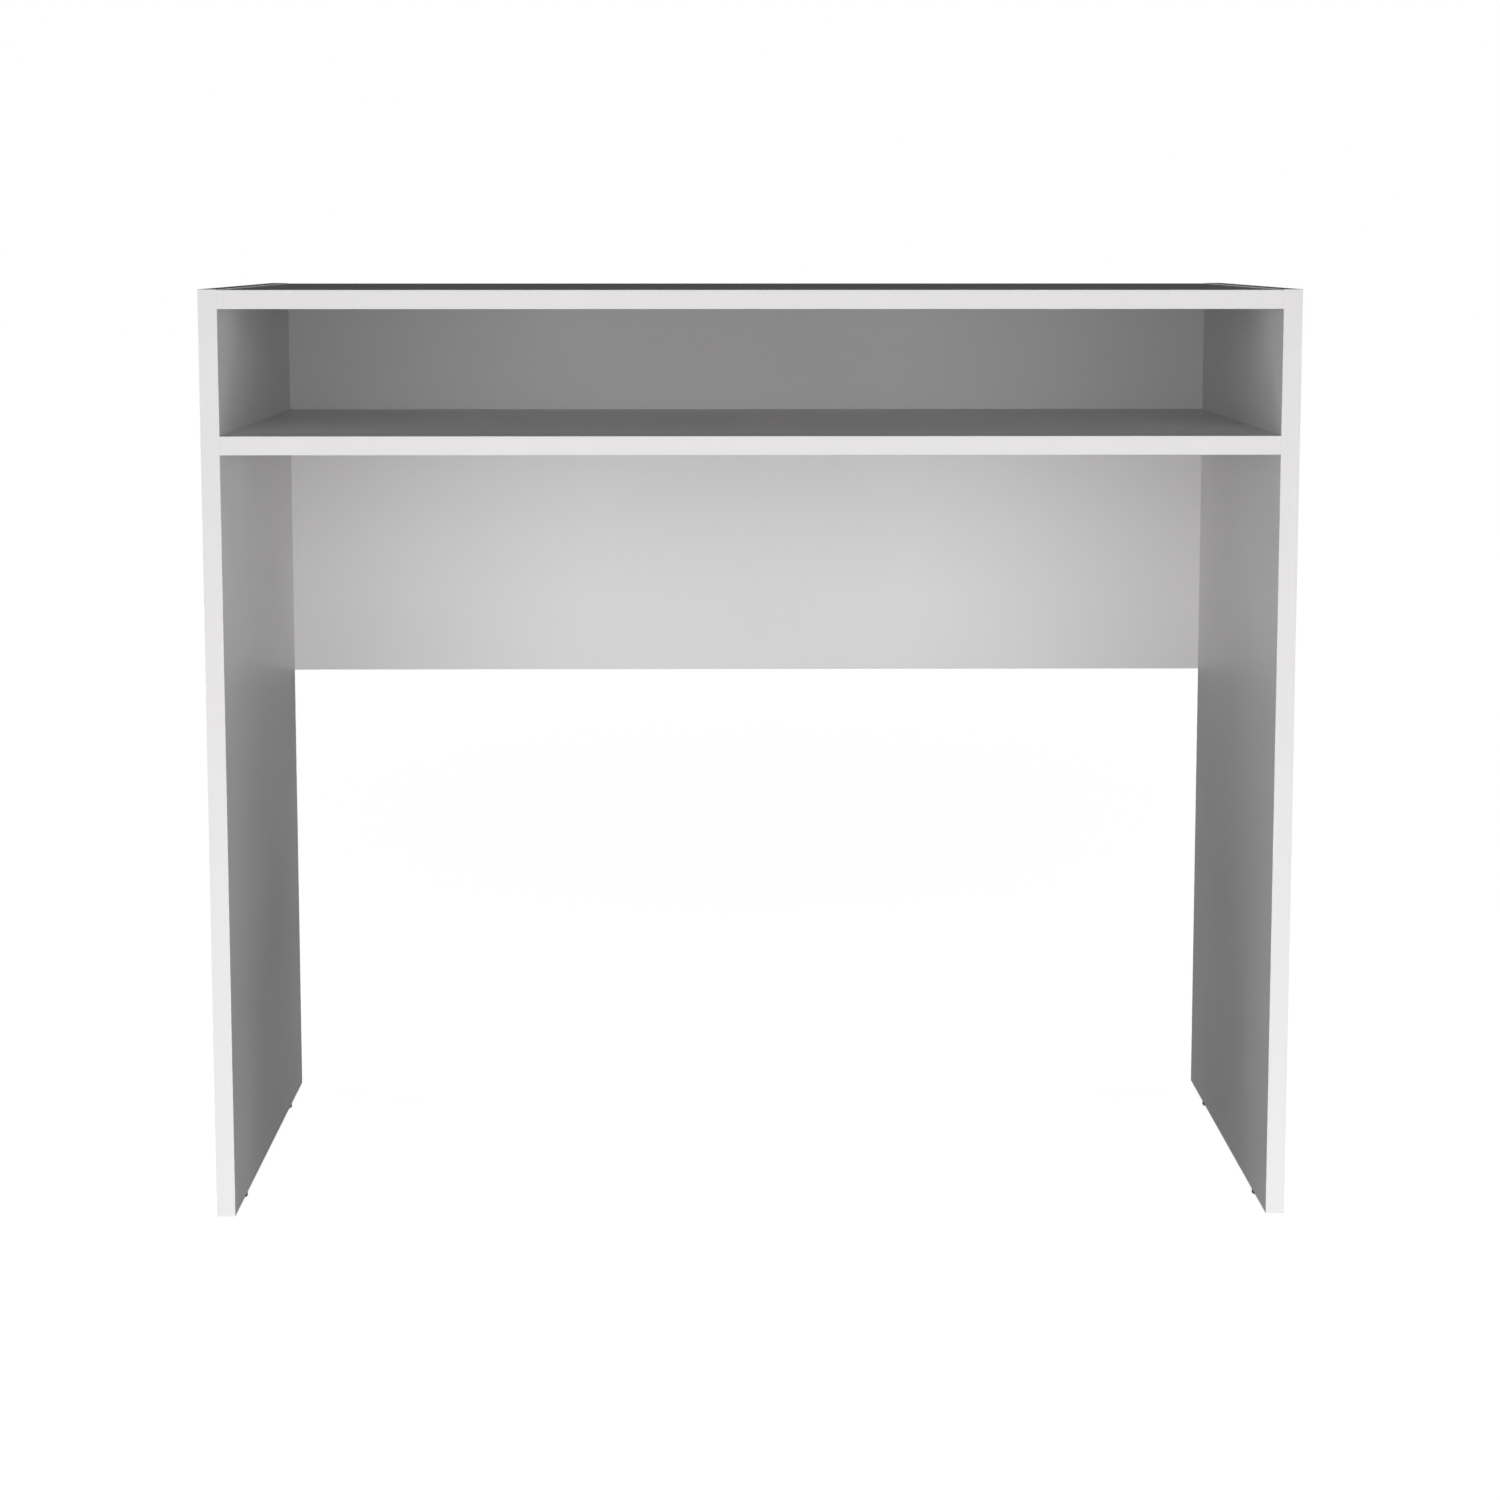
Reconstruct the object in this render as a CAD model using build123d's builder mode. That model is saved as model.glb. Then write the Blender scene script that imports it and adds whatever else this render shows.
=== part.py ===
from build123d import *

import os

# Console table: a flat-pack table of melamine-faced chipboard.
#
# Two side panels carry a top and a shelf, which leave one open compartment between them.
# A thin fibreboard back is screwed to the rear edges. Cam locks and dowels hold the top and
# the shelf, and each side panel stands on two nailed glides.
#
# Millimetres. +X is the right-hand side as seen from the front, -Y is the front and +Z is up.
# The origin is on the floor, at the middle of the footprint.

# ---------------------------------------------------------------- driving dimensions
width = 870.0  # over both side panels
side_depth = 425.0  # side panel, front edge to rear edge
side_height = 750.0  # side panel, bottom edge to top edge
board = 15.0  # thickness of the side panels, the top and the shelf
band = 0.5  # thickness of an edge band
band_round = 0.35  # rounding along an edge band's outer edges
top_step = 0.45  # the top's surface lies this far below the side panels' top edges
compartment_height = 100.0  # clear height between the shelf and the top

back_thickness = 3.0
back_height = 355.5
back_margin = 1.0  # the back stops this far inside the sides and below the top's surface

glide_height = 4.5
glide_radius = 7.0
glide_inset = 72.0  # glide centre to the side panel's front or rear edge
nail_radius = 1.0
nail_head_radius = 2.7
nail_head_height = 0.8
nail_length = 13.0  # under the head
glide_recess = 1.6  # depth of the hollow that takes the nail's head

cam_radius = 7.4
cam_height = 11.7
cam_pocket_radius = 7.5
cam_pocket_depth = 12.0
cam_setback = 24.0  # cam centre to the end of its board
bolt_bore_radius = 4.0  # bore from the board's end to the cam pocket
bolt_thread_radius = 2.5
bolt_thread_length = 11.0
bolt_thread_pitch = 1.6
bolt_head_radius = 3.2
dowel_radius = 4.0
dowel_length = 30.0
dowel_in_side = 11.0  # the part of a dowel that sits in the side panel
cam_inset = 60.0  # cam bolt to the board's front or rear edge
dowel_inset = 92.0  # dowel to the board's front or rear edge

screw_radius = 1.75
screw_head_radius = 3.4
screw_head_edge = 0.15  # upright edge of a screw's head, above its cone
screw_length = 16.0
screw_point = 4.0  # length of a screw's tip

fit = 0.05  # radial clearance around dowels, threads, nails and screws
bore_spare = 0.5  # how much deeper a bore goes than what it holds

# ---------------------------------------------------------------- worked-out places
total_depth = side_depth + back_thickness
front = -total_depth / 2
rear = front + side_depth  # the side panels' rear edges, which the back lies against
side_bottom = glide_height
side_top = side_bottom + side_height
inner = width / 2 - board  # inner face of a side panel
side_middle = width / 2 - board / 2

top_surface = side_top - top_step
top_underside = top_surface - board
shelf_surface = top_underside - compartment_height
shelf_underside = shelf_surface - board
back_top = top_surface - back_margin
back_bottom = back_top - back_height

cam_rows = (front + cam_inset, rear - cam_inset)
dowel_rows = (front + dowel_inset, rear - dowel_inset)
glide_rows = (front + glide_inset, rear - glide_inset)
span_levels = (top_underside + board / 2, shelf_underside + board / 2)

# screws through the back: along the top and the shelf, and down each side
long_row_screws = 7
long_row_pitch = 130.0
side_screw_levels = [back_bottom + step for step in (20.0, 110.0, 200.0)]
side_screw_levels.append((shelf_surface + top_underside) / 2)
long_row_places = [
    ((i - (long_row_screws - 1) / 2) * long_row_pitch, level)
    for level in span_levels
    for i in range(long_row_screws)
]
side_screw_places = [(side_middle, level) for level in side_screw_levels]
mirrored_side_places = [(-x, z) for x, z in side_screw_places]
screw_places = long_row_places + side_screw_places + mirrored_side_places

pieces = {}


def keep(name, built):
    """Gives a finished piece its name and puts it on the list that is written at the end."""
    built.part.label = name
    pieces[name] = built.part


def block(x_range, y_range, z_range):
    """Extrudes a rectangular block between the given limits into the part being built."""
    (x0, x1), (y0, y1), (z0, z1) = x_range, y_range, z_range
    with BuildSketch(Plane.XY.offset(z0)) as footprint:
        with Locations(((x0 + x1) / 2, (y0 + y1) / 2)):
            Rectangle(x1 - x0, y1 - y0)
    extrude(footprint.sketch, amount=z1 - z0)


# ---------------------------------------------------------------- side panels
# Planes that look at the table from behind and from below, for what is bored in there.
rear_plane = Plane(origin=(0, rear, 0), x_dir=(-1, 0, 0), z_dir=(0, 1, 0))
floor_plane = Plane(origin=(0, 0, 0), x_dir=(1, 0, 0), z_dir=(0, 0, -1))
inner_plane = Plane(origin=(inner, 0, 0), x_dir=(0, 0, 1), z_dir=(-1, 0, 0))
screw_reach = screw_length - back_thickness
nail_reach = glide_recess + nail_length - glide_height

with BuildPart() as side_panel_right:
    block(
        (inner, width / 2),
        (front + band, rear - band),
        (side_bottom, side_top - band),
    )
    # bores in the inner face for the cam bolts and dowels of the top and the shelf
    with Locations(inner_plane):
        with Locations(*[(z, y) for z in span_levels for y in cam_rows]):
            Hole(bolt_thread_radius + fit, depth=bolt_thread_length + bore_spare)
        with Locations(*[(z, y) for z in span_levels for y in dowel_rows]):
            Hole(dowel_radius + fit, depth=dowel_in_side + bore_spare)
    # pilot holes in the rear edge for the back's screws
    with Locations(rear_plane.offset(-band)):
        with Locations(*[(-x, z) for x, z in side_screw_places]):
            Hole(screw_radius + fit, depth=screw_reach)
    # nail holes in the bottom edge
    with Locations(floor_plane.offset(-side_bottom)):
        with Locations(*[(side_middle, -y) for y in glide_rows]):
            Hole(nail_radius + fit, depth=nail_reach + bore_spare)
keep("side_panel_right", side_panel_right)

with BuildPart() as side_front_band:
    block((inner, width / 2), (front, front + band), (side_bottom, side_top))
    fillet(side_front_band.edges().group_by(Axis.Y)[0], radius=band_round)
keep("side_front_band_right", side_front_band)

with BuildPart() as side_rear_band:
    block((inner, width / 2), (rear - band, rear), (side_bottom, side_top))
    fillet(side_rear_band.edges().group_by(Axis.Y)[-1], radius=band_round)
    with Locations(rear_plane):
        with Locations(*[(-x, z) for x, z in side_screw_places]):
            Hole(screw_radius + fit, depth=2 * band)
keep("side_rear_band_right", side_rear_band)

with BuildPart() as side_top_band:
    block(
        (inner, width / 2),
        (front + band, rear - band),
        (side_top - band, side_top),
    )
    long_edges = side_top_band.edges().group_by(Axis.Z)[-1].filter_by(Axis.Y)
    fillet(long_edges, radius=band_round)
keep("side_top_band_right", side_top_band)

for name in (
    "side_panel",
    "side_front_band",
    "side_rear_band",
    "side_top_band",
):
    with BuildPart() as left_twin:
        mirror(pieces[name + "_right"], about=Plane.YZ)
    keep(name + "_left", left_twin)


# ---------------------------------------------------------------- top and shelf
def span_board(underside):
    """A board that spans the side panels, with its cam pockets in the underside."""
    level = underside + board / 2
    dowel_in_board = dowel_length - dowel_in_side
    with BuildPart() as span:
        block((-inner, inner), (front + band, rear), (underside, underside + board))
        with Locations(floor_plane.offset(-underside)):
            cam_x = inner - cam_setback
            with Locations(*[(x, -y) for x in (-cam_x, cam_x) for y in cam_rows]):
                Hole(cam_pocket_radius, depth=cam_pocket_depth)
        for end in (-1, 1):
            end_plane = Plane(origin=(end * inner, 0, level), x_dir=(0, 1, 0), z_dir=(end, 0, 0))
            with Locations(end_plane):
                with Locations(*[(y, 0) for y in cam_rows]):
                    Hole(bolt_bore_radius, depth=cam_setback)
                with Locations(*[(y, 0) for y in dowel_rows]):
                    Hole(dowel_radius + fit, depth=dowel_in_board + bore_spare)
        with Locations(rear_plane):
            with Locations(*[(-x, level) for x, z in long_row_places if z == level]):
                Hole(screw_radius + fit, depth=screw_reach + bore_spare)
    return span


def span_front_band(underside):
    """The edge band on the front of the top or the shelf."""
    with BuildPart() as strip:
        block((-inner, inner), (front, front + band), (underside, underside + board))
        fillet(strip.edges().group_by(Axis.Y)[0].filter_by(Axis.X), radius=band_round)
    return strip


for name, underside in (("top", top_underside), ("shelf", shelf_underside)):
    keep(name + "_panel", span_board(underside))
    keep(name + "_front_band", span_front_band(underside))


# ---------------------------------------------------------------- back
with BuildPart() as back_panel:
    block(
        (-width / 2 + back_margin, width / 2 - back_margin),
        (rear, rear + back_thickness),
        (back_bottom, back_top),
    )
    with Locations(rear_plane.offset(back_thickness)):
        with Locations(*[(-x, z) for x, z in screw_places]):
            CounterSinkHole(
                radius=screw_radius + fit,
                counter_sink_radius=screw_head_radius + screw_head_edge + fit,
                depth=back_thickness,
                counter_sink_angle=90,
            )
keep("back_panel", back_panel)

# ---------------------------------------------------------------- one cam lock
# Underside at z = 0, axis along Z. The bolt comes in along +X, at half the board's height.
cam_slot_height = 4.4
cam_cavity_height = 2 * bolt_head_radius + 0.5
cam_cavity_radius = 5.0
cam_cavity_offset = 0.5  # the cavity is off centre, and this draws the bolt in
cam_window_width = 7.2
cross_length, cross_width, cross_depth = 7.0, 1.3, 1.6
pointer_base, pointer_side, pointer_depth = 1.8, 1.5, 0.3
bolt_level = board / 2

with BuildPart() as cam_lock:
    with BuildSketch():
        Circle(cam_radius)
    extrude(amount=cam_height)
    fillet(cam_lock.edges().sort_by(Axis.Z)[0], radius=0.4)
    # the cavity that takes the bolt's head
    with BuildSketch(Plane.XY.offset(bolt_level - cam_cavity_height / 2)):
        with Locations((0, cam_cavity_offset)):
            Circle(cam_cavity_radius)
    extrude(amount=cam_cavity_height, mode=Mode.SUBTRACT)
    # the narrow slot that the bolt's neck travels along as the cam turns
    with BuildSketch(Plane.XY.offset(bolt_level - cam_slot_height / 2)):
        with Locations((cam_radius, 0)):
            Rectangle(2 * cam_radius, 3 * cam_radius)
        with Locations((0, cam_cavity_offset)):
            Circle(cam_cavity_radius, mode=Mode.SUBTRACT)
    extrude(amount=cam_slot_height, mode=Mode.SUBTRACT)
    # the window that lets the bolt's head in before the cam is turned
    with BuildSketch(Plane.XY.offset(bolt_level - cam_cavity_height / 2)):
        with Locations((0, cam_radius)):
            Rectangle(cam_window_width, 2 * cam_radius)
    extrude(amount=cam_cavity_height, mode=Mode.SUBTRACT)
    # the driver's cross, and a small pointer to the window
    with BuildSketch():
        SlotOverall(cross_length, cross_width)
        SlotOverall(cross_length, cross_width, rotation=90)
    extrude(amount=cross_depth, mode=Mode.SUBTRACT)
    with BuildSketch():
        with Locations((0, 0.78 * cam_radius)):
            Triangle(a=pointer_base, b=pointer_side, c=pointer_side)
    extrude(amount=pointer_depth, mode=Mode.SUBTRACT)

# ---------------------------------------------------------------- one cam bolt
# z = 0 where the side panel meets the board. The thread runs down, into the side panel.
bolt_core_radius = 1.9  # between the thread's crests
bolt_tip_radius = 1.2
bolt_tip_length = 1.0
bolt_collar_gap = 0.1  # between the side panel and the collar
bolt_collar_radius = 3.8
bolt_collar_end = 1.6
bolt_stem_radius = 3.0
bolt_stem_end = cam_setback - cam_radius - 0.6
bolt_neck_radius = 1.9
bolt_head_length = 3.2
bolt_bevel = 0.4
thread_start = bolt_tip_length + 0.2 - bolt_thread_length
bolt_head_start = cam_setback - bolt_head_length
bolt_crests = int((bolt_thread_length - 2.0) / bolt_thread_pitch)

with BuildPart() as cam_bolt:
    with BuildSketch(Plane.XZ):
        with BuildLine():
            outline = [
                (0, -bolt_thread_length),
                (bolt_tip_radius, -bolt_thread_length),
                (bolt_core_radius, bolt_tip_length - bolt_thread_length),
            ]
            for crest in range(bolt_crests):
                low = thread_start + crest * bolt_thread_pitch
                outline.append((bolt_core_radius, low))
                outline.append((bolt_thread_radius, low + 0.45 * bolt_thread_pitch))
                outline.append((bolt_thread_radius, low + 0.6 * bolt_thread_pitch))
                outline.append((bolt_core_radius, low + 0.95 * bolt_thread_pitch))
            outline.append((bolt_core_radius, bolt_collar_gap - bolt_bevel))
            outline.append((bolt_core_radius + bolt_bevel, bolt_collar_gap))
            outline.append((bolt_collar_radius, bolt_collar_gap))
            outline.append((bolt_collar_radius, bolt_collar_end))
            outline.append((bolt_stem_radius, bolt_collar_end + bolt_bevel))
            outline.append((bolt_stem_radius, bolt_stem_end))
            outline.append((bolt_neck_radius, bolt_stem_end + 2 * bolt_bevel))
            outline.append((bolt_neck_radius, bolt_head_start))
            outline.append((bolt_head_radius - bolt_bevel, bolt_head_start))
            outline.append((bolt_head_radius, bolt_head_start + 2 * bolt_bevel))
            outline.append((bolt_head_radius, cam_setback - 2 * bolt_bevel))
            outline.append((bolt_head_radius - 2 * bolt_bevel, cam_setback))
            outline.append((0, cam_setback))
            Polyline(*outline, close=True)
        make_face()
    revolve(axis=Axis.Z)

# ---------------------------------------------------------------- one dowel
dowel_flutes = 10
flute_radius = 0.45
dowel_bevel = 1.0
dowel_start = -dowel_in_side
dowel_end = dowel_length - dowel_in_side

with BuildPart() as dowel:
    with BuildSketch(Plane.XY.offset(dowel_start)):
        Circle(dowel_radius)
        with PolarLocations(dowel_radius, dowel_flutes):
            Circle(flute_radius, mode=Mode.SUBTRACT)
    extrude(amount=dowel_length)
    # bevelled ends
    with BuildSketch(Plane.XZ):
        with BuildLine():
            Polyline(
                (0, dowel_start),
                (dowel_radius - dowel_bevel, dowel_start),
                (dowel_radius, dowel_start + dowel_bevel),
                (dowel_radius, dowel_end - dowel_bevel),
                (dowel_radius - dowel_bevel, dowel_end),
                (0, dowel_end),
                close=True,
            )
        make_face()
    revolve(axis=Axis.Z, mode=Mode.INTERSECT)


# ---------------------------------------------------------------- connectors in place
def end_planes(level, rows):
    """Planes on both side panels' inner faces that look towards the table's middle."""
    return [
        Plane(origin=(end * inner, y, level), x_dir=(0, 1, 0), z_dir=(-end, 0, 0))
        for end in (-1, 1)
        for y in rows
    ]


def cam_planes(underside):
    """Planes on a board's underside, one on each cam's axis, with X towards the board's end."""
    return [
        Plane(
            origin=(end * (inner - cam_setback), y, underside),
            x_dir=(end, 0, 0),
            z_dir=(0, 0, 1),
        )
        for end in (-1, 1)
        for y in cam_rows
    ]


for name, underside in (("top", top_underside), ("shelf", shelf_underside)):
    level = underside + board / 2
    with BuildPart() as cam_locks:
        with Locations(*cam_planes(underside)):
            add(cam_lock.part)
    keep(name + "_cam_locks", cam_locks)
    with BuildPart() as cam_bolts:
        with Locations(*end_planes(level, cam_rows)):
            add(cam_bolt.part)
    keep(name + "_cam_bolts", cam_bolts)
    with BuildPart() as dowels:
        with Locations(*end_planes(level, dowel_rows)):
            add(dowel.part)
    keep(name + "_dowels", dowels)

# ---------------------------------------------------------------- screws of the back
# One screw with its head's face at z = 0 and its shank running down.
screw_thread_pitch = 1.5
screw_core_radius = 1.2
screw_cone_end = screw_head_edge + screw_head_radius - screw_radius
screw_thread_start = 4.0  # below the head's face
screw_run_out = 0.4
screw_crests = int((screw_length - screw_point - screw_thread_start) / screw_thread_pitch)
recess_span, recess_slot = 4.2, 1.1  # the driver's cross at the head's face
recess_foot_span, recess_foot_slot = 1.3, 0.5
recess_depth = 2.1

with BuildPart() as screw:
    with BuildSketch(Plane.XZ):
        with BuildLine():
            profile = [
                (0, 0),
                (screw_head_radius, 0),
                (screw_head_radius, -screw_head_edge),
                (screw_radius, -screw_cone_end),
                (screw_radius, screw_run_out - screw_thread_start),
                (screw_core_radius, -screw_thread_start),
            ]
            for crest in range(screw_crests):
                high = -screw_thread_start - crest * screw_thread_pitch
                profile.append((screw_core_radius, high - 0.3 * screw_thread_pitch))
                profile.append((screw_radius, high - 0.6 * screw_thread_pitch))
                profile.append((screw_core_radius, high - 0.9 * screw_thread_pitch))
            profile.append((screw_core_radius, screw_point - screw_length))
            profile.append((0, -screw_length))
            Polyline(*profile, close=True)
        make_face()
    revolve(axis=Axis.Z)
    # the driver's cross: two slots that narrow towards their foot
    for turn in (0, 90):
        with BuildSketch():
            SlotOverall(recess_span, recess_slot, rotation=turn)
        with BuildSketch(Plane.XY.offset(-recess_depth)):
            SlotOverall(recess_foot_span, recess_foot_slot, rotation=turn)
        loft(mode=Mode.SUBTRACT)

with BuildPart() as back_screws:
    with Locations(rear_plane.offset(back_thickness)):
        with Locations(*[(-x, z) for x, z in screw_places]):
            add(screw.part)
keep("back_screws", back_screws)

# ---------------------------------------------------------------- glides and their nails
glide_recess_radius = nail_head_radius + 0.4
glide_chamfer = 0.6

with BuildPart() as glide:
    with BuildSketch():
        Circle(glide_radius)
    extrude(amount=glide_height)
    chamfer(glide.edges().sort_by(Axis.Z)[0], length=glide_chamfer)
    with Locations(floor_plane):
        CounterBoreHole(
            radius=nail_radius + fit,
            counter_bore_radius=glide_recess_radius,
            counter_bore_depth=glide_recess,
            depth=glide_height,
        )

# One nail, with the underside of its head against the floor of the glide's hollow.
nail_head_face = glide_recess - nail_head_height
nail_head_bevel = 0.3
nail_tip = glide_recess + nail_length
nail_point = 2.5  # length of the nail's tip

with BuildPart() as nail:
    with BuildSketch(Plane.XZ):
        with BuildLine():
            Polyline(
                (0, nail_head_face),
                (nail_head_radius - nail_head_bevel, nail_head_face),
                (nail_head_radius, nail_head_face + nail_head_bevel),
                (nail_head_radius, glide_recess),
                (nail_radius, glide_recess),
                (nail_radius, nail_tip - nail_point),
                (0, nail_tip),
                close=True,
            )
        make_face()
    revolve(axis=Axis.Z)

glide_places = {
    row_name + "_glide_" + side_name: (sign * side_middle, y)
    for side_name, sign in (("left", -1), ("right", 1))
    for row_name, y in zip(("front", "rear"), glide_rows)
}
for name, place in glide_places.items():
    with BuildPart() as placed_glide:
        with Locations(place):
            add(glide.part)
    keep(name, placed_glide)

with BuildPart() as glide_nails:
    with Locations(*glide_places.values()):
        add(nail.part)
keep("glide_nails", glide_nails)

# ---------------------------------------------------------------- write the parts
os.makedirs("parts", exist_ok=True)
for name, part in pieces.items():
    export_step(part, f"parts/{name}.step")
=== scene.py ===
import math

import bmesh
import bpy
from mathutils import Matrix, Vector


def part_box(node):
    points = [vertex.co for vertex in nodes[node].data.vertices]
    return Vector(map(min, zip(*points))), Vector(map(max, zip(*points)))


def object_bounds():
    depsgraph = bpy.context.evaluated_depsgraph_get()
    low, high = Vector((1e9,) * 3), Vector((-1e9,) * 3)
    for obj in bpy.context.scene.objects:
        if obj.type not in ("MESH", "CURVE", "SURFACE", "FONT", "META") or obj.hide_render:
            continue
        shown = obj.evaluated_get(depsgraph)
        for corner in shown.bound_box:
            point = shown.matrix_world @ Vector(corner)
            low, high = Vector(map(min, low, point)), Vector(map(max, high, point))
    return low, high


# The looks of the white flat-pack console table. Metres, in the CAD's frame: +X is the
# right-hand side as seen from the front, -Y is the front, +Z is up and z = 0 is the floor.

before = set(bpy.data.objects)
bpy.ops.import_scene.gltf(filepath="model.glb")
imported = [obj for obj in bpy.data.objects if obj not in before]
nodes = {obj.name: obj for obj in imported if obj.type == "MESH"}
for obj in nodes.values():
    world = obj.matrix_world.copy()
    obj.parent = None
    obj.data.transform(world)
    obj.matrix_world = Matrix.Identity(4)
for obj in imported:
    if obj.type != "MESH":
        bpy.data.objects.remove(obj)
cad_low, cad_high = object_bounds()

MM = 0.001
SIDES = ("left", "right")


# ---------------------------------------------------------------- shader building blocks
class Shader:
    """A material's node tree, with short calls for the nodes that this scene uses."""

    def __init__(self, name, metallic=0.0, specular=0.5):
        self.material = bpy.data.materials.new(name)
        self.material.use_nodes = True
        self.tree = self.material.node_tree
        self.tree.nodes.clear()
        self.surface = self.tree.nodes.new("ShaderNodeBsdfPrincipled")
        self.surface.inputs["Metallic"].default_value = metallic
        self.surface.inputs["Specular IOR Level"].default_value = specular
        output = self.tree.nodes.new("ShaderNodeOutputMaterial")
        self.tree.links.new(self.surface.outputs["BSDF"], output.inputs["Surface"])
        self.place = self.tree.nodes.new("ShaderNodeTexCoord").outputs["Object"]

    def put(self, value, socket):
        """Links a socket to value if value is a socket, and otherwise sets it to that number."""
        if isinstance(value, bpy.types.NodeSocket):
            self.tree.links.new(value, socket)
        else:
            socket.default_value = value

    def math(self, operation, a, b=0.0, clamp=False):
        node = self.tree.nodes.new("ShaderNodeMath")
        node.operation = operation
        node.use_clamp = clamp
        self.put(a, node.inputs[0])
        self.put(b, node.inputs[1])
        return node.outputs["Value"]

    def stretched(self, scale):
        """The place in the frame, stretched by a factor for each axis."""
        node = self.tree.nodes.new("ShaderNodeMapping")
        self.put(self.place, node.inputs["Vector"])
        node.inputs["Scale"].default_value = scale
        return node.outputs["Vector"]

    def noise(self, per_metre, detail=2.0, roughness=0.5, distortion=0.0, at=None):
        node = self.tree.nodes.new("ShaderNodeTexNoise")
        self.put(at or self.place, node.inputs["Vector"])
        node.inputs["Scale"].default_value = per_metre
        node.inputs["Detail"].default_value = detail
        node.inputs["Roughness"].default_value = roughness
        node.inputs["Distortion"].default_value = distortion
        return node.outputs["Fac"]

    def cells(self, per_metre, at=None, feature="F1", output="Distance"):
        node = self.tree.nodes.new("ShaderNodeTexVoronoi")
        node.feature = feature
        self.put(at or self.place, node.inputs["Vector"])
        node.inputs["Scale"].default_value = per_metre
        return node.outputs[output]

    def between(self, factor, low, high, start=0.0, end=1.0):
        """Numbers that run from low to high as factor runs from start to end."""
        node = self.tree.nodes.new("ShaderNodeMapRange")
        self.put(factor, node.inputs["Value"])
        self.put(start, node.inputs["From Min"])
        self.put(end, node.inputs["From Max"])
        self.put(low, node.inputs["To Min"])
        self.put(high, node.inputs["To Max"])
        return node.outputs["Result"]

    def spread(self, noise, low, high):
        """Numbers from low to high over the middle range, where most of a noise lies."""
        return self.between(noise, low, high, 0.3, 0.7)

    def mix(self, factor, first, second):
        """A mix of two colours, each a socket or an RGB triple."""
        node = self.tree.nodes.new("ShaderNodeMix")
        node.data_type = "RGBA"
        self.put(factor, node.inputs["Factor"])
        for value, socket in ((first, node.inputs["A"]), (second, node.inputs["B"])):
            self.put(value if isinstance(value, bpy.types.NodeSocket) else (*value, 1.0), socket)
        return node.outputs["Result"]

    def axis(self, index, vector=None):
        node = self.tree.nodes.new("ShaderNodeSeparateXYZ")
        self.put(vector or self.place, node.inputs["Vector"])
        return node.outputs[index]

    def facing(self, index):
        """How far the true surface faces along one axis, either way, from 0 to 1."""
        node = self.tree.nodes.new("ShaderNodeNewGeometry")
        return self.math("ABSOLUTE", self.axis(index, node.outputs["True Normal"]))

    def near(self, coordinate, planes, reach):
        """1 within reach of any of the planes along a coordinate, and otherwise 0."""
        hits = [self.math("COMPARE", coordinate, plane) for plane in planes]
        for hit in hits:
            hit.node.inputs[2].default_value = reach
        found = hits[0]
        for hit in hits[1:]:
            found = self.math("MAXIMUM", found, hit)
        return found

    def bump(self, height, distance, strength=1.0, under=None):
        node = self.tree.nodes.new("ShaderNodeBump")
        self.put(height, node.inputs["Height"])
        node.inputs["Distance"].default_value = distance
        node.inputs["Strength"].default_value = strength
        if under is not None:
            self.put(under, node.inputs["Normal"])
        return node.outputs["Normal"]

    def finish(self, colour, roughness, normal):
        self.put(colour, self.surface.inputs["Base Color"])
        self.put(roughness, self.surface.inputs["Roughness"])
        self.put(normal, self.surface.inputs["Normal"])
        return self.material


# ---------------------------------------------------------------- materials
WHITE = (0.795, 0.783, 0.790)
WHITE_SHADE = (0.772, 0.760, 0.768)
# Painted shade: the shelf's whites are an eighth darker, for the shade on its upper face.
SHELF_WHITE_PAINTED_SHADE = (0.690, 0.680, 0.686)
SHELF_TONE_PAINTED_SHADE = (0.670, 0.660, 0.667)
# Painted light: the bands' whites are lighter than the boards', for the lit front edges.
BAND_WHITE_PAINTED_LIGHT = (0.905, 0.887, 0.895)
BAND_TONE_PAINTED_LIGHT = (0.890, 0.872, 0.880)


CHIPS_PER_METRE = 330.0
CHIP_FLATNESS = 2.6  # chips lie flat, and are this much longer than thick
DARK_CHIP, PALE_CHIP = (0.36, 0.235, 0.125), (0.70, 0.53, 0.34)
DARK_DUST, PALE_DUST = (0.42, 0.30, 0.175), (0.66, 0.51, 0.34)
CHIP_GAP = (0.30, 0.20, 0.115)
MELAMINE_REACH = 0.05 * MM  # how near its plane a face still counts as faced
FACING_EDGE = 0.22 * MM  # thickness of the facing's own edge, where the board is cut
PAINT_EDGE = 0.18 * MM


def chipboard(shader, thin, middle, half):
    """Colour and height of a cut chipboard edge. thin is the axis across the board's thickness."""
    flat = [1.0, 1.0, 1.0]
    flat[thin] = CHIP_FLATNESS
    lying = shader.stretched(flat)
    depth = shader.math("ABSOLUTE", shader.math("SUBTRACT", shader.axis(thin), middle))
    core = shader.between(depth, 1.0, 0.0, 0.45 * half, 0.75 * half)
    chips = shader.cells(CHIPS_PER_METRE, lying, output="Color")
    fine = shader.noise(1500.0, detail=4.0, roughness=0.65, at=lying)
    coarse_tone = shader.between(shader.axis(0, chips), 0.0, 1.0)
    coarse = shader.mix(coarse_tone, DARK_CHIP, PALE_CHIP)
    dust = shader.mix(fine, DARK_DUST, PALE_DUST)
    colour = shader.mix(core, dust, coarse)
    chip_edges = shader.cells(CHIPS_PER_METRE, lying, "DISTANCE_TO_EDGE")
    gaps = shader.between(chip_edges, 0.0, 1.0, 0.0, 0.04)
    colour = shader.mix(gaps, CHIP_GAP, colour)
    height = shader.math("MULTIPLY", shader.math("ADD", fine, gaps), 0.5)
    return colour, height


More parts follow.
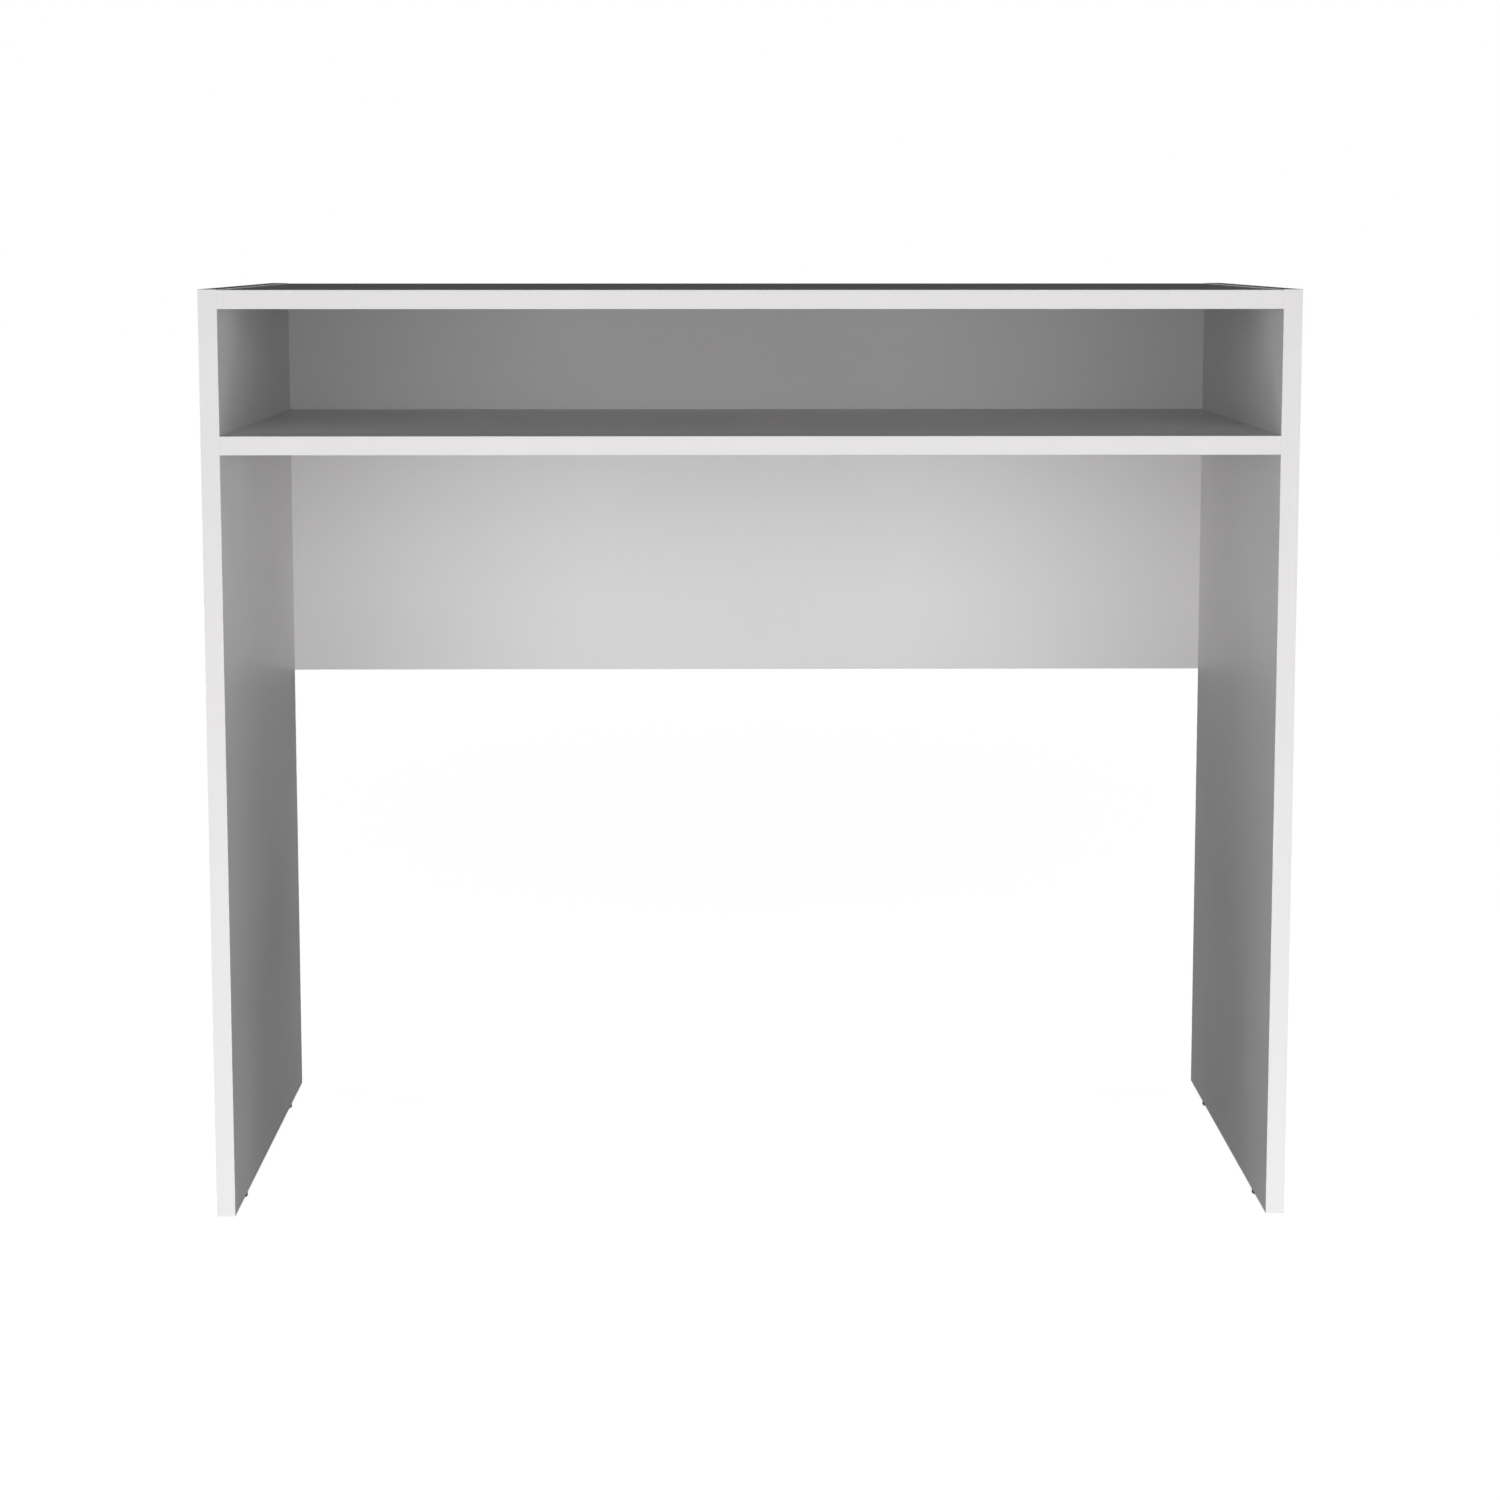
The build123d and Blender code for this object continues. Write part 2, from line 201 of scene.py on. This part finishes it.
def melamine_board(name, thin, low, high, white=WHITE, shade=WHITE_SHADE):
    """Pearl-textured white melamine on chipboard, whose cut edges stay raw.

    thin is the axis across the board, which lies between low and high along it.
    """
    shader = Shader(name, specular=0.42)
    middle, half = (low + high) / 2, (high - low) / 2
    across = shader.axis(thin)
    on_face = shader.near(across, (low, high), MELAMINE_REACH)
    faced = shader.math("MULTIPLY", on_face, shader.math("GREATER_THAN", shader.facing(thin), 0.7))
    # the facing's own edge shows as a white line along a cut edge
    faced = shader.math("MAXIMUM", faced, shader.near(across, (low, high), FACING_EDGE))

    cloud = shader.noise(2.2, detail=3.0)
    grain = shader.noise(620.0, detail=2.0)
    facing = shader.mix(shader.spread(cloud, 0.0, 1.0), shade, white)
    speck = shader.between(grain, 0.0, 0.35, 0.62, 0.85)
    facing = shader.mix(speck, facing, shade)
    raw, raw_height = chipboard(shader, thin, middle, half)

    pearl = shader.noise(560.0, detail=2.5, roughness=0.6, distortion=0.4)
    wave = shader.noise(42.0, detail=1.0)
    smooth = shader.bump(pearl, 0.28 * MM, under=shader.bump(wave, 0.15 * MM))
    rough = shader.bump(raw_height, 0.5 * MM)
    normal = shader.mix(faced, rough, smooth)

    sheen = shader.spread(shader.noise(9.0, detail=4.0), 0.40, 0.50)
    fine_sheen = shader.spread(grain, -0.04, 0.04)
    polish = shader.math("ADD", sheen, fine_sheen)
    roughness = shader.between(faced, 0.93, polish)
    return shader.finish(shader.mix(faced, raw, facing), roughness, normal)


def edge_band(name):
    """White plastic edge banding: smoother than the boards, with faint lines along its run."""
    shader = Shader(name, specular=0.45)
    cloud = shader.noise(3.0, detail=2.0)
    # the band whites are lighter than the boards', painted light for the lit front edges
    colour = shader.mix(shader.spread(cloud, 0.0, 1.0), BAND_TONE_PAINTED_LIGHT, BAND_WHITE_PAINTED_LIGHT)
    # drawn lines: long in every run direction, fine across the thickness
    drawn_upright = shader.noise(1.0, detail=2.0, at=shader.stretched((1600.0, 1600.0, 8.0)))
    drawn_level = shader.noise(1.0, detail=2.0, at=shader.stretched((8.0, 8.0, 1600.0)))
    lines = shader.math("MULTIPLY", shader.math("ADD", drawn_upright, drawn_level), 0.5)
    peel = shader.noise(300.0, detail=1.5)
    normal = shader.bump(lines, 0.012 * MM, under=shader.bump(peel, 0.03 * MM))
    roughness = shader.spread(shader.noise(30.0, detail=3.0), 0.34, 0.43)
    return shader.finish(colour, roughness, normal)


def faced_fibreboard(low, high):
    """Thin fibreboard, painted white on both faces and bare brown at its cut edges."""
    shader = Shader("faced_fibreboard", specular=0.4)
    across = shader.axis(1)
    faced = shader.near(across, (low, high), PAINT_EDGE)
    paint_cloud = shader.noise(2.6, detail=3.0)
    paint = shader.mix(shader.spread(paint_cloud, 0.0, 1.0), WHITE_SHADE, WHITE)
    fibre = shader.noise(1100.0, detail=5.0, roughness=0.7)
    brown = shader.mix(fibre, (0.16, 0.085, 0.042), (0.36, 0.22, 0.12))
    roller = shader.noise(260.0, detail=2.0)
    painted = shader.bump(roller, 0.05 * MM, under=shader.bump(shader.noise(30.0), 0.15 * MM))
    normal = shader.mix(faced, shader.bump(fibre, 0.3 * MM), painted)
    polish = shader.spread(shader.noise(12.0, detail=4.0), 0.46, 0.56)
    roughness = shader.between(faced, 0.95, polish)
    return shader.finish(shader.mix(faced, brown, paint), roughness, normal)


def metal(name, bright, dull, polish, grain_per_metre, grain_depth):
    """A plated or cast metal: tone and roughness vary in soft patches over a fine grain."""
    shader = Shader(name, metallic=1.0)
    patch = shader.noise(260.0, detail=4.0, roughness=0.6)
    grain = shader.noise(grain_per_metre, detail=3.0)
    colour = shader.mix(shader.spread(patch, 0.0, 1.0), dull, bright)
    roughness = shader.spread(patch, polish + 0.1, polish - 0.05)
    return shader.finish(colour, roughness, shader.bump(grain, grain_depth))


def beech():
    """Pale beech with short dark flecks along the dowel."""
    shader = Shader("beech_dowels", specular=0.3)
    along = shader.stretched((60.0, 900.0, 900.0))
    fleck = shader.noise(1.0, detail=4.0, roughness=0.6, at=along)
    tone = shader.noise(30.0, detail=2.0)
    pale = shader.mix(tone, (0.52, 0.34, 0.19), (0.66, 0.47, 0.29))
    colour = shader.mix(shader.between(fleck, 0.0, 0.7, 0.55, 0.75), pale, (0.30, 0.17, 0.08))
    return shader.finish(colour, shader.between(fleck, 0.6, 0.75), shader.bump(fleck, 0.1 * MM))


def dark_plastic():
    """Charcoal moulded plastic with a fine spark-eroded grain."""
    shader = Shader("dark_plastic", specular=0.25)
    grain = shader.noise(2600.0, detail=3.0, roughness=0.6)
    tone = shader.noise(120.0, detail=2.0)
    colour = shader.mix(tone, (0.017, 0.017, 0.018), (0.028, 0.028, 0.030))
    roughness = shader.spread(grain, 0.50, 0.66)
    return shader.finish(colour, roughness, shader.bump(grain, 0.05 * MM))


def lacquered(material):
    """Adds a clear hard coat that levels out the texture, as on a worktop's upper face."""
    surface = next(n for n in material.node_tree.nodes if n.type == "BSDF_PRINCIPLED")
    surface.inputs["Coat Weight"].default_value = 1.0
    surface.inputs["Coat IOR"].default_value = 1.5
    surface.inputs["Coat Roughness"].default_value = 0.05
    return material


def dress(names, material):
    """Gives every material slot of the named CAD nodes this material."""
    for name in names:
        for material_slot in nodes[name].material_slots:
            material_slot.material = material


for side in SIDES:
    low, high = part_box("side_panel_" + side)
    dress(["side_panel_" + side], melamine_board("melamine_side_" + side, 0, low.x, high.x))
low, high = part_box("top_panel")
dress(["top_panel"], lacquered(melamine_board("melamine_top", 2, low.z, high.z)))
low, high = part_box("shelf_panel")
# The shelf gets the darker whites, a painted shade on its upper face.
shelf_board_painted_shade = melamine_board("melamine_shelf_painted_shade", 2, low.z, high.z, SHELF_WHITE_PAINTED_SHADE, SHELF_TONE_PAINTED_SHADE)
dress(["shelf_panel"], shelf_board_painted_shade)
back_low, back_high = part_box("back_panel")
dress(["back_panel"], faced_fibreboard(back_low.y, back_high.y))
dress([name for name in nodes if "_band" in name], edge_band("edge_band"))
dress(["side_top_band_left", "side_top_band_right"], lacquered(edge_band("edge_band_top")))
dress([name for name in nodes if "_glide_" in name], dark_plastic())
dress(
    [name for name in nodes if name.endswith("_cam_locks")],
    metal("zinc_cams", (0.60, 0.60, 0.61), (0.47, 0.47, 0.48), 0.38, 2200.0, 0.05 * MM),
)
dress(
    ["back_screws", "glide_nails"] + [n for n in nodes if n.endswith("_cam_bolts")],
    metal("steel_fittings", (0.60, 0.61, 0.63), (0.46, 0.47, 0.49), 0.36, 1500.0, 0.02 * MM),
)
dress([name for name in nodes if name.endswith("_dowels")], beech())

# ---------------------------------------------------------------- camera
# The lens looks a little down and to the right from almost straight in front of the table.
eye_to_front = 2.5652
eye_height = 0.7894
eye_right = -0.0236
look_right = math.radians(0.598)
look_down = math.radians(7.157)
lens_mm, sensor_mm = 77.80, 36.0
shift_right, shift_up = -0.0035, -0.0656

camera = bpy.data.objects.new("camera", bpy.data.cameras.new("camera"))
bpy.context.scene.collection.objects.link(camera)
camera.location = (eye_right, cad_low.y - eye_to_front, eye_height)
camera.rotation_euler = (math.radians(90.0) - look_down, 0.0, -look_right)
camera.data.lens = lens_mm
camera.data.sensor_width = sensor_mm
camera.data.shift_x = shift_right
camera.data.shift_y = shift_up
camera.data.clip_start = 0.05
camera.data.clip_end = 60.0
bpy.context.scene.camera = camera

# ---------------------------------------------------------------- light
scene = bpy.context.scene
scene.view_settings.view_transform = "Standard"
scene.view_settings.look = "None"
scene.view_settings.exposure = 0.0
scene.view_settings.gamma = 1.0


def softbox(name, power, place, aim, width, height, only=()):
    """A soft rectangular lamp at place, shining towards aim, on all nodes or on some only."""
    lamp = bpy.data.objects.new(name, bpy.data.lights.new(name, "AREA"))
    lamp.data.shape = "RECTANGLE"
    lamp.data.size = width
    lamp.data.size_y = height
    lamp.data.energy = power
    lamp.location = place
    direction = Vector(aim) - Vector(place)
    lamp.rotation_euler = direction.to_track_quat("-Z", "Y").to_euler()
    lamp.visible_camera = False
    scene.collection.objects.link(lamp)
    if only:
        lit = bpy.data.collections.new(name + "_lights")
        for node in only:
            lit.objects.link(nodes[node])
        lamp.light_linking.receiver_collection = lit
    return lamp


# Power in watts, place, aim, width and height. The front lamps stand low, so that upward
# faces stay in half-shade. No two lamps share a plane, because one would hide the other.
softbox("front_wide", 59.0, (0.0, -3.4, 0.6), (0.0, 0.0, 0.5), 5.0, 2.4)
softbox("front_slim", 24.5, (0.0, -3.5, 0.6), (0.0, 0.0, 0.5), 5.0, 1.6)
softbox("front_low", 13.3, (0.0, -1.6, -0.6), (0.0, 0.2, 0.45), 2.4, 1.0)
for side, way in zip(SIDES, (-1, 1)):
    softbox(side + "_low", 7.5, (3.4 * way, 0.0, 0.36), (0.0, 0.0, 0.36), 2.4, 0.7)
    softbox(side + "_high", 46.0, (3.6 * way, 0.0, 0.9), (0.0, 0.0, 0.4), 2.4, 2.0)

# Two fills for the faces that the front lamps can't reach. The rear one stays lower than the
# table's top, and neither lights the side panels, whose inner faces stay shaded.
rear_bands = ["side_rear_band_left", "side_rear_band_right"]
top_bands = ["side_top_band_left", "side_top_band_right"]
rear_faces = ["back_panel", "back_screws", "top_panel"] + rear_bands
softbox("rear_fill", 70.0, (0.0, 3.8, 0.2), (0.0, 0.0, 0.3), 3.2, 0.96, rear_faces)
top_faces = ["top_panel", "back_panel"] + top_bands + rear_bands
softbox("top_fill", 66.0, (0.0, -0.2, 3.4), (0.0, 0.0, 0.0), 3.0, 2.4, top_faces)

world = bpy.data.worlds.new("studio")
world.use_nodes = True
sky = world.node_tree.nodes["Background"]
sky.inputs["Color"].default_value = (1.0, 1.0, 1.0, 1.0)
sky.inputs["Strength"].default_value = 0.006
scene.world = world


# ---------------------------------------------------------------- floor and backdrop
stage_radius = 24.0
floor_glow_near = 0.90  # the lamps add the rest of the floor's white
floor_clear_from = 1.2  # from here outwards the floor's own glow takes over from the lamps
floor_clear_to = 4.0
floor_pale = 0.5


def stage_piece(name, fill, pale):
    """A plain pale piece of the studio. The camera sees it, but it doesn't light the table."""
    mesh = bpy.data.meshes.new(name)
    shape = bmesh.new()
    fill(shape)
    shape.to_mesh(mesh)
    shape.free()
    piece = bpy.data.objects.new(name, mesh)
    scene.collection.objects.link(piece)
    shader = Shader(name, specular=0.0)
    shader.surface.inputs["Base Color"].default_value = (pale, pale, pale, 1.0)
    shader.surface.inputs["Roughness"].default_value = 0.9
    shader.surface.inputs["Emission Color"].default_value = (1.0, 1.0, 1.0, 1.0)
    shader.surface.inputs["Emission Strength"].default_value = 1.0
    mesh.materials.append(shader.material)
    piece.visible_diffuse = False
    piece.visible_glossy = False
    piece.visible_shadow = False
    return shader


def floor_disc(shape):
    bmesh.ops.create_circle(shape, cap_ends=True, segments=128, radius=stage_radius)


def backdrop_dome(shape):
    bmesh.ops.create_uvsphere(shape, u_segments=64, v_segments=32, radius=stage_radius)


floor = stage_piece("floor", floor_disc, floor_pale)
far = floor.tree.nodes.new("ShaderNodeVectorMath")
far.operation = "LENGTH"
floor.put(floor.place, far.inputs[0])
glow = floor.between(far.outputs["Value"], floor_glow_near, 1.0, floor_clear_from, floor_clear_to)
floor.put(glow, floor.surface.inputs["Emission Strength"])
stage_piece("backdrop", backdrop_dome, 0.0)
